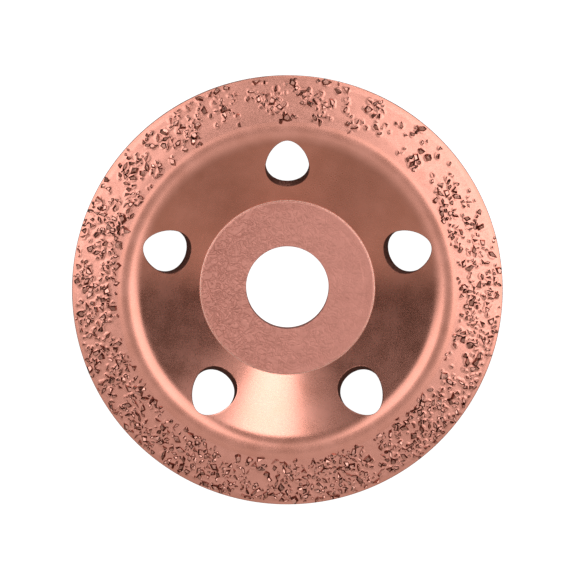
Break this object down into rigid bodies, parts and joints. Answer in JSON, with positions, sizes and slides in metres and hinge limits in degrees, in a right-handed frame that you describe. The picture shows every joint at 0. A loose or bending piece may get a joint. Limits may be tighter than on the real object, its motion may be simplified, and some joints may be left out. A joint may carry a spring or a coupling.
{
  "type": "angle grinder carving disc",
  "caption": "Pressed steel dish with a brazed hub plate, wall vents and copper-brazed carbide grit on its sloping rim, for shaping wood with an angle grinder.",
  "frame": {"origin": "on the bore's axis at the back face of the hub", "axes": "+Z along the bore's axis towards the working side, +Y through the middle of one vent"},
  "size_m": [0.115, 0.115, 0.0169],
  "materials": {
    "dish": "satin copper over pressed steel",
    "hub": "matt copper with braze ripples",
    "braze": "satin brazing copper",
    "carbide": "rough crushed grain, wetted with copper"
  },
  "bodies": {
    "root": {"pressed_dish": "dish", "hub_plate": "hub", "hub_braze_fillet": "braze", "braze_coat": "braze", "carbide_cluster_01": "carbide", "carbide_cluster_02": "carbide", "carbide_cluster_03": "carbide", "carbide_cluster_04": "carbide", "carbide_cluster_05": "carbide", "carbide_cluster_06": "carbide", "carbide_cluster_07": "carbide", "carbide_cluster_08": "carbide", "carbide_cluster_09": "carbide", "carbide_cluster_10": "carbide", "carbide_cluster_11": "carbide", "carbide_cluster_12": "carbide", "carbide_cluster_13": "carbide", "carbide_cluster_14": "carbide", "carbide_cluster_15": "carbide", "carbide_cluster_16": "carbide", "carbide_cluster_17": "carbide", "carbide_cluster_18": "carbide", "carbide_cluster_19": "carbide", "carbide_cluster_20": "carbide", "carbide_cluster_21": "carbide", "carbide_cluster_22": "carbide", "carbide_cluster_23": "carbide", "carbide_cluster_24": "carbide", "carbide_cluster_25": "carbide", "carbide_cluster_26": "carbide", "carbide_cluster_27": "carbide", "carbide_cluster_28": "carbide", "carbide_cluster_29": "carbide", "carbide_cluster_30": "carbide", "carbide_cluster_31": "carbide", "carbide_cluster_32": "carbide", "carbide_cluster_33": "carbide", "carbide_cluster_34": "carbide", "carbide_cluster_35": "carbide", "carbide_cluster_36": "carbide", "carbide_cluster_37": "carbide", "carbide_cluster_38": "carbide", "carbide_cluster_39": "carbide", "carbide_cluster_40": "carbide", "carbide_cluster_41": "carbide", "carbide_cluster_42": "carbide", "carbide_cluster_43": "carbide", "carbide_cluster_44": "carbide", "carbide_cluster_45": "carbide", "carbide_cluster_46": "carbide", "carbide_cluster_47": "carbide", "carbide_cluster_48": "carbide", "carbide_cluster_49": "carbide", "carbide_cluster_50": "carbide", "carbide_cluster_51": "carbide", "carbide_cluster_52": "carbide", "carbide_cluster_53": "carbide", "carbide_cluster_54": "carbide", "carbide_cluster_55": "carbide", "carbide_cluster_56": "carbide"}
  },
  "joints": []
}
